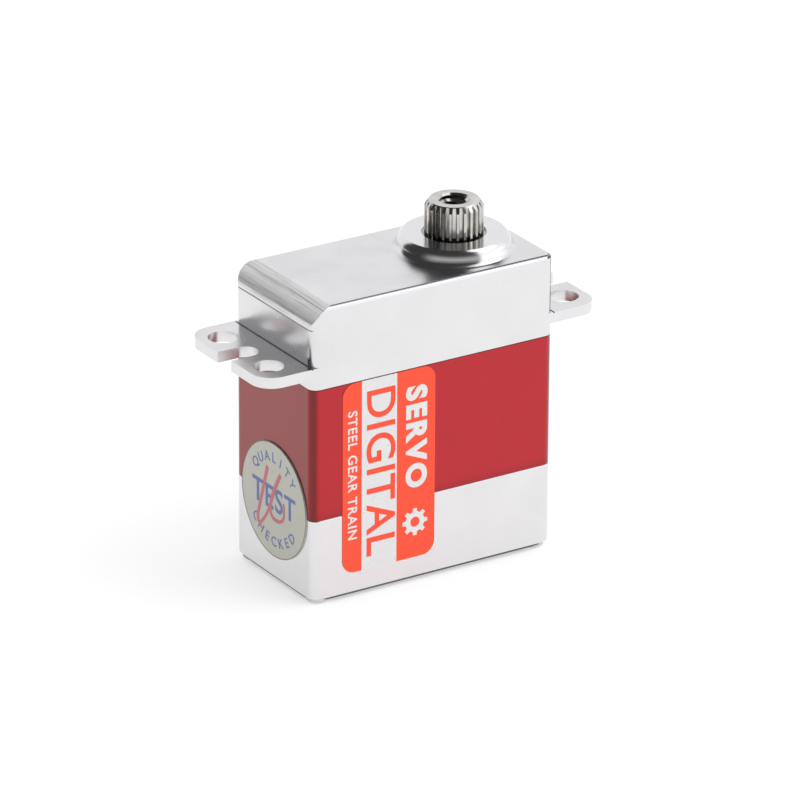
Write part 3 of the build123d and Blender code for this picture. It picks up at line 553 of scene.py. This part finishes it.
def finish_print(name, made, place, thickness=PRINT_T):
    """Gives flat faces a thickness along their own Z and sets them down by place."""
    grown = bmesh.ops.extrude_face_region(made, geom=list(made.faces))
    top = [v for v in grown["geom"] if isinstance(v, bmesh.types.BMVert)]
    bmesh.ops.translate(made, verts=top, vec=(0, 0, thickness))
    bmesh.ops.recalc_face_normals(made, faces=made.faces)
    made.transform(place)
    return mesh_from(name, made)


def sheet_mesh(name, outline, thickness, place):
    """Closed thin sheet from a 2-D outline."""
    made = bmesh.new()
    made.faces.new([made.verts.new((x, y, 0)) for x, y in outline])
    return finish_print(name, made, place, thickness)


def ring_mesh(name, outer, inner, place):
    """Closed flat ring of ink between two rows of points with the same number of points."""
    made = bmesh.new()
    outer = [made.verts.new((x, y, 0)) for x, y in outer]
    inner = [made.verts.new((x, y, 0)) for x, y in inner]
    for k in range(len(outer)):
        j = (k + 1) % len(outer)
        made.faces.new((outer[k], outer[j], inner[j], inner[k]))
    return finish_print(name, made, place)


def text_mesh(name, words, size, place, weight=0.0, spacing=1.0):
    """Lettering as a thin closed mesh, centred on its own origin, then set down by place."""
    curve = bpy.data.curves.new(name, "FONT")
    curve.body = words
    curve.size = size
    curve.align_x, curve.align_y = "CENTER", "CENTER"
    curve.offset = weight
    curve.extrude = PRINT_T / 2
    curve.space_character = spacing
    curve.resolution_u = TEXT_STEPS
    holder = bpy.data.objects.new(name, curve)
    bpy.context.scene.collection.objects.link(holder)
    bpy.context.view_layer.update()
    mesh = bpy.data.meshes.new_from_object(holder.evaluated_get(bpy.context.evaluated_depsgraph_get()))
    bpy.data.objects.remove(holder)
    mesh.name = name
    mesh.transform(Matrix.Translation((0, 0, PRINT_T / 2)))
    mesh.transform(place)
    return mesh


def join_meshes(name, meshes):
    """One mesh made of several, which are used up."""
    joined = bmesh.new()
    for mesh in meshes:
        joined.from_mesh(mesh)
        bpy.data.meshes.remove(mesh)
    return mesh_from(name, joined)


# ---------------------------------------------------------------- label on the long side
LABEL_BAND_1 = 2.25 * MM        # width of the left printed band
LABEL_BAND_2 = 6.4 * MM         # right edge of the plain middle band
LABEL_CORNER = 1.45 * MM
ORANGE = (1.0, 0.095, 0.045)    # fluorescent ink, which glows a little
GLOW = 0.08
ARC_STEPS = 10

# Words: text, letter size, place from the label's left edge and up from its middle, extra weight, spacing
LABEL_WORDS = {
    "label_words_left": ("STEEL GEAR TRAIN", 1.5 * MM, 1.1 * MM, 0.3 * MM, 0.025 * MM, 1.12),
    "label_words_middle": ("DIGITAL", 4.75 * MM, 4.33 * MM, 0.2 * MM, 0.06 * MM, 1.04),
    "label_words_right": ("SERVO", 3.2 * MM, 8.6 * MM, 2.9 * MM, 0.16 * MM, 1.24),
}

MARK_X = 8.6 * MM               # middle of the gear mark, from the label's left edge
MARK_Z = 3.9 * MM               # and from its lower edge
MARK_TIP_R = 1.5 * MM
MARK_ROOT_R = 1.12 * MM
MARK_HOLE_R = 0.55 * MM
MARK_TEETH = 8
MARK_TIP_SHARE = 0.18           # half a tooth's tip, as a share of the step between two teeth
MARK_ROOT_SHARE = 0.3           # half its root


def corner_points(x, y, r, start):
    """Quarter circle round x and y, counter-clockwise from the angle start."""
    angles = [start + pi / 2 * k / ARC_STEPS for k in range(ARC_STEPS + 1)]
    return [(x + r * cos(angle), y + r * sin(angle)) for angle in angles]


def band_outline(x0, x1, z0, z1, round_left, round_right):
    """Band of the label, counter-clockwise from its lower left corner."""
    r = LABEL_CORNER
    points = corner_points(x0 + r, z0 + r, r, pi) if round_left else [(x0, z0)]
    points += corner_points(x1 - r, z0 + r, r, 1.5 * pi) if round_right else [(x1, z0)]
    points += corner_points(x1 - r, z1 - r, r, 0) if round_right else [(x1, z1)]
    points += corner_points(x0 + r, z1 - r, r, pi / 2) if round_left else [(x0, z1)]
    return points


def label_place(y):
    """Puts a sheet drawn in X and Z on the front, facing -Y."""
    return Matrix(((1, 0, 0, 0), (0, 0, -1, y), (0, 1, 0, 0), (0, 0, 0, 1)))


def down_place(x, z, y):
    """Puts lettering on the front so that it reads downwards."""
    return Matrix(((0, 1, 0, x), (0, 0, -1, y), (-1, 0, 0, z), (0, 0, 0, 1)))


def orange_ink():
    """Fluorescent film: matt, with a faint glow of its own."""
    ink = print_vinyl("label_orange", ORANGE, roughness=0.4, gloss=0.0, Specular_IOR_Level=0.2,
                      Emission_Strength=GLOW)
    ink.node_tree.nodes["Principled BSDF"].inputs["Emission Color"].default_value = (*ORANGE, 1)
    return ink


def add_label_bands(thick, orange, white):
    """Three printed bands side by side; the outer two have the label's round corners."""
    first = label_lo.x + LABEL_BAND_1
    second = label_lo.x + LABEL_BAND_2
    bands = [
        ("label_band_left", label_lo.x, first, orange, True, False),
        ("label_band_middle", first, second, white, False, False),
        ("label_band_right", second, label_hi.x, orange, False, True),
    ]
    pieces = []
    for name, x0, x1, material, round_left, round_right in bands:
        outline = band_outline(x0, x1, label_lo.z, label_hi.z, round_left, round_right)
        mesh = sheet_mesh(name, outline, thick, label_place(label_hi.y))
        pieces.append(new_piece(name, mesh, material, "case"))
    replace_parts(pieces[0], "side_label")


def add_label():
    """The label: its bands, the words that read downwards and the gear mark."""
    orange = orange_ink()
    white = print_vinyl("label_white", (0.80, 0.80, 0.81), roughness=0.3, metallic=0.35)
    ink = print_vinyl("label_ink", (0.86, 0.86, 0.86))
    thick = label_hi.y - label_lo.y - PRINT_T
    add_label_bands(thick, orange, white)
    face = label_hi.y - thick + PRINT_SINK
    middle = (label_lo.z + label_hi.z) / 2
    for name, (text, size, across, up, weight, spacing) in LABEL_WORDS.items():
        place = down_place(label_lo.x + across, middle + up, face)
        mesh = text_mesh(name, text, size, place, weight, spacing)
        colour = orange if name == "label_words_middle" else ink
        new_piece(name, mesh, colour, "case")
    add_gear_mark(down_place(label_lo.x + MARK_X, label_lo.z + MARK_Z, face), ink)


def add_gear_mark(place, material):
    """A plain gear with a round hole, drawn after the word on the right band."""
    tooth = (
        (-MARK_ROOT_SHARE, MARK_ROOT_R),
        (-MARK_TIP_SHARE, MARK_TIP_R),
        (MARK_TIP_SHARE, MARK_TIP_R),
        (MARK_ROOT_SHARE, MARK_ROOT_R),
    )
    rim = []
    for k in range(MARK_TEETH):
        for share, r in tooth:
            angle = 2 * pi * (k + share) / MARK_TEETH
            rim.append((r * cos(angle), r * sin(angle)))
    hole = circle_points(MARK_HOLE_R, len(rim), first=-MARK_ROOT_SHARE * len(tooth))
    mesh = ring_mesh("label_gear_mark", rim, hole, place)
    new_piece("label_gear_mark", mesh, material, "case")


# ---------------------------------------------------------------- round sticker on the motor end
STICKER_STEPS = 96
RING_LETTER = 1.5 * MM          # size of the letters round the sticker
RING_LETTER_INSET = 1.6 * MM    # from the sticker's edge to the middle of those letters
RING_LETTER_STEP = radians(16.5)
RING_LETTER_WEIGHT = 0.015 * MM
CENTRE_LETTER = 3.6 * MM
CENTRE_WEIGHT = 0.05 * MM
CENTRE_SPACING = 1.1
EDGE_SHADOW_WIDTH = 0.09 * MM            # width of the painted shadow round the sticker's edge
PEN_WIDTH = 0.52 * MM
PEN_TAPER = 0.45                # share of its width that a stroke loses by its end
PEN_STEPS = 14

# Pen strokes, in mm from the sticker's centre: the first point, then each curve's pull point and end
PEN_LOOP = ((-1.2, 3.3), [
    ((-2.2, 0.2), (-3.1, -2.6)),
    ((-3.2, -4.6), (-1.3, -1.9)),
    ((0.1, 0.9), (1.3, 3.2)),
])
PEN_HOOK = ((1.3, 3.2), [
    ((-2.2, -2.2), (0.5, -2.1)),
    ((2.4, -2.0), (1.9, 0.3)),
])


def sticker_place(x, y, z):
    """Puts a drawing on the motor end, facing -X, its right to -Y and its top to +Z."""
    return Matrix(((0, 0, -1, x), (-1, 0, 0, y), (0, 1, 0, z), (0, 0, 0, 1)))


def ring_words(name, words, radius, place, upside_down=False):
    """Lettering along the top of a circle, or upside down along its bottom."""
    letters = []
    side = -1 if upside_down else 1
    for k, letter in enumerate(words):
        angle = side * (pi / 2 - RING_LETTER_STEP * (k - (len(words) - 1) / 2))
        lean = angle - side * pi / 2
        spot = Matrix.Translation((radius * cos(angle), radius * sin(angle), 0))
        letter_place = place @ spot @ Matrix.Rotation(lean, 4, "Z")
        letters.append(text_mesh(name, letter, RING_LETTER, letter_place, RING_LETTER_WEIGHT))
    return join_meshes(name, letters)


def curve_points(a, b, c):
    """Points on the quadratic curve from a to c that b pulls towards itself."""
    points = []
    for k in range(PEN_STEPS + 1):
        t = k / PEN_STEPS
        weights = ((1 - t) ** 2, 2 * t * (1 - t), t ** 2)
        points.append([sum(w * v for w, v in zip(weights, values)) for values in zip(a, b, c)])
    return points


def pen_spine(start, curves):
    """Points along a chain of curves, each given by its pull point and its end in mm."""
    points = [start]
    for pull, end in curves:
        points += curve_points(points[-1], pull, end)[1:]
    return [Vector((x * MM, y * MM)) for x, y in points]


def pen_stroke(name, spine, place):
    """A pen line along the spine, tapering towards its end."""
    made = bmesh.new()
    last = len(spine) - 1
    left, right = [], []
    for k, p in enumerate(spine):
        along = (spine[min(k + 1, last)] - spine[max(k - 1, 0)]).normalized()
        side = Vector((-along.y, along.x)) * PEN_WIDTH * (1 - PEN_TAPER * k / last) / 2
        left.append(made.verts.new((*(p + side), 0)))
        right.append(made.verts.new((*(p - side), 0)))
    for k in range(last):
        made.faces.new((right[k], right[k + 1], left[k + 1], left[k]))
    return finish_print(name, made, place)


def add_sticker_print(name, mesh, material):
    """One piece of the sticker."""
    return new_piece(name, mesh, material, "case")


def add_sticker_words(radius, place):
    """A word along the top, one along the bottom and a large one across the middle."""
    blue = print_vinyl("sticker_blue", (0.09, 0.15, 0.42))
    letter_r = radius - RING_LETTER_INSET
    upper = ring_words("sticker_upper_words", "QUALITY", letter_r, place)
    add_sticker_print("sticker_upper_words", upper, blue)
    lower = ring_words("sticker_lower_words", "CHECKED", letter_r, place, upside_down=True)
    add_sticker_print("sticker_lower_words", lower, blue)
    centre = text_mesh("sticker_centre_word", "TEST", CENTRE_LETTER, place, CENTRE_WEIGHT, CENTRE_SPACING)
    add_sticker_print("sticker_centre_word", centre, blue)


def add_pen_mark(place):
    """Two crossing pen strokes, each lifted by its own amount so that they never share a face."""
    red = print_vinyl("sticker_pen", (0.66, 0.16, 0.20), roughness=0.5)
    strokes = [("sticker_pen_loop", PEN_LOOP, PRINT_T / 3), ("sticker_pen_hook", PEN_HOOK, PRINT_T * 2 / 3)]
    for name, (start, curves), lift in strokes:
        lifted = place @ Matrix.Translation((0, 0, lift))
        add_sticker_print(name, pen_stroke(name, pen_spine(start, curves), lifted), red)


def add_sticker():
    """Round foil sticker with its print, a painted shadow round its edge and a pen mark."""
    foil = print_vinyl("sticker_foil", (0.54, 0.54, 0.475), roughness=0.42, metallic=0.5)
    edge = print_vinyl("sticker_painted_edge_shadow", (0.20, 0.20, 0.18), roughness=0.6)
    y = (sticker_lo.y + sticker_hi.y) / 2
    z = (sticker_lo.z + sticker_hi.z) / 2
    radius = (sticker_hi.z - sticker_lo.z) / 2
    thick = sticker_hi.x - sticker_lo.x - 2 * PRINT_T
    outline = circle_points(radius, STICKER_STEPS)
    disc = sheet_mesh("sticker_disc", outline, thick, sticker_place(sticker_hi.x, y, z))
    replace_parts(add_sticker_print("sticker_disc", disc, foil), "inspection_sticker")
    place = sticker_place(sticker_hi.x - thick + PRINT_SINK, y, z)
    add_sticker_words(radius, place)
    inner = circle_points(radius - EDGE_SHADOW_WIDTH, STICKER_STEPS)
    # painted shadow: a dark ring round the sticker's edge
    add_sticker_print("sticker_painted_edge_shadow", ring_mesh("sticker_painted_edge_shadow", outline, inner, place), edge)
    add_pen_mark(place)


# ---------------------------------------------------------------- thread in the output shaft
THREAD_R = 1.5 * MM
THREAD_DEPTH = 0.27 * MM
THREAD_PITCH = 0.5 * MM
THREAD_ROOT_HALF = 0.46 * THREAD_PITCH      # half the ridge's width at its foot
THREAD_CREST_HALF = 0.046 * THREAD_PITCH    # and at its crest
THREAD_SINK = 0.014 * MM                    # its foot reaches this far into the wall
THREAD_TURNS = 12
THREAD_STEPS = 48
THREAD_TOP_DROP = 0.15 * MM     # where the thread starts, under the shaft's end


def add_thread():
    """Ridge of the M3 thread, wound down the hole in the output shaft."""
    x = (shaft_lo.x + shaft_hi.x) / 2
    y = (shaft_lo.y + shaft_hi.y) / 2
    top = shaft_hi.z - THREAD_TOP_DROP - THREAD_ROOT_HALF
    foot_r = THREAD_R + THREAD_SINK
    crest_r = THREAD_R - THREAD_DEPTH
    section = (
        (foot_r, THREAD_ROOT_HALF),
        (crest_r, THREAD_CREST_HALF),
        (crest_r, -THREAD_CREST_HALF),
        (foot_r, -THREAD_ROOT_HALF),
    )
    made = bmesh.new()
    rings = []
    for k in range(THREAD_TURNS * THREAD_STEPS + 1):
        angle = 2 * pi * k / THREAD_STEPS
        z = top - THREAD_PITCH * k / THREAD_STEPS
        ring = [(x + r * cos(angle), y - r * sin(angle), z + rise) for r, rise in section]
        rings.append([made.verts.new(spot) for spot in ring])
    for upper, lower in zip(rings, rings[1:]):
        for k in range(len(section)):
            j = (k + 1) % len(section)
            made.faces.new((upper[k], upper[j], lower[j], lower[k]))
    made.faces.new(rings[0])
    made.faces.new(rings[-1])
    bmesh.ops.recalc_face_normals(made, faces=made.faces)
    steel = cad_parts["output_shaft"].material_slots[0].material
    new_piece("shaft_thread", mesh_from("shaft_thread", made), steel, "output")


# ---------------------------------------------------------------- studio
FLOOR_HALF = 1.1


def add_floor():
    """Square table top at the level that the servo stands on."""
    h = FLOOR_HALF
    made = bmesh.new()
    made.faces.new([made.verts.new((x, y, 0)) for x, y in ((-h, -h), (h, -h), (h, h), (-h, h))])
    mesh = mesh_from("floor", made)
    floor = bpy.data.objects.new("floor", mesh)
    bpy.context.scene.collection.objects.link(floor)
    mesh.materials.append(floor_material())
    floor.location.z = box_lo.z


def add_light(name, direction, distance, size, power, shows_in_gloss=True):
    """Rectangular lamp that looks at the object from the given direction."""
    data = bpy.data.lights.new(name, "AREA")
    data.shape = "RECTANGLE"
    data.size, data.size_y = size
    data.energy = power
    lamp = bpy.data.objects.new(name, data)
    bpy.context.scene.collection.objects.link(lamp)
    place = Vector(direction).normalized()
    lamp.location = box_centre + place * distance
    lamp.rotation_mode = "QUATERNION"
    lamp.rotation_quaternion = (-place).to_track_quat("-Z", "Y")
    lamp.visible_glossy = shows_in_gloss


# The studio's walls: pale at +X and behind, dark elsewhere and overhead, and a low glow on the camera's side
WORLD_SIDE = Vector((0.9, 0.43, 0.0))
WORLD_SIDE_SPAN = (-0.10, -0.04)
WORLD_CEILING_SPAN = (0.72, 0.56)
WORLD_DARK = 0.045
WORLD_BRIGHT = 0.96
WORLD_LOW_SPAN = (0.66, 0.08)
WORLD_FRONT_SPAN = (0.2, -0.4)
WORLD_LOW = 0.46
WORLD_COLOUR = (1.0, 1.0, 1.01)


def add_world():
    """Walls and ceiling that the metal mirrors, so that it shows its form."""
    world = bpy.data.worlds.new("studio")
    bpy.context.scene.world = world
    world.use_nodes = True
    tree = world.node_tree
    back = tree.nodes["Background"]
    place = tree.nodes.new("ShaderNodeTexCoord").outputs["Generated"]

    def smooth(value, span):
        step = tree.nodes.new("ShaderNodeMapRange")
        step.interpolation_type = "SMOOTHSTEP"
        step.inputs["From Min"].default_value, step.inputs["From Max"].default_value = span
        tree.links.new(value, step.inputs["Value"])
        return step.outputs["Result"]

    def combine(operation, a, b):
        made = tree.nodes.new("ShaderNodeMath")
        made.operation = operation
        for socket, value in zip(made.inputs, (a, b)):
            if isinstance(value, float):
                socket.default_value = value
            else:
                tree.links.new(value, socket)
        return made.outputs["Value"]

    side = tree.nodes.new("ShaderNodeVectorMath")
    side.operation = "DOT_PRODUCT"
    side.inputs[1].default_value = WORLD_SIDE
    tree.links.new(place, side.inputs[0])
    split = tree.nodes.new("ShaderNodeSeparateXYZ")
    tree.links.new(place, split.inputs["Vector"])
    pale_side = smooth(side.outputs["Value"], WORLD_SIDE_SPAN)
    under_ceiling = smooth(split.outputs["Z"], WORLD_CEILING_SPAN)
    walls = combine("MULTIPLY", combine("MULTIPLY", pale_side, under_ceiling), WORLD_BRIGHT)
    camera_side = smooth(split.outputs["Y"], WORLD_FRONT_SPAN)
    near_floor = smooth(split.outputs["Z"], WORLD_LOW_SPAN)
    low = combine("MULTIPLY", combine("MULTIPLY", camera_side, near_floor), WORLD_LOW)
    level = combine("ADD", walls, combine("ADD", low, WORLD_DARK))
    tree.links.new(level, back.inputs["Strength"])
    back.inputs["Color"].default_value = (*WORLD_COLOUR, 1)


def add_studio():
    bpy.context.scene.view_settings.view_transform = "Standard"
    add_world()
    add_floor()
    add_light("key", direction=(0.5, -0.37, 0.75), distance=0.6, size=(0.4, 0.4), power=0.7)
    add_light("fill", direction=(-0.1, -0.1, 1.0), distance=0.9, size=(1.4, 1.4), power=6.5,
              shows_in_gloss=False)


# ---------------------------------------------------------------- the scene
add_camera()
add_studio()
dress_cad_nodes()
add_label()
add_sticker()
add_thread()
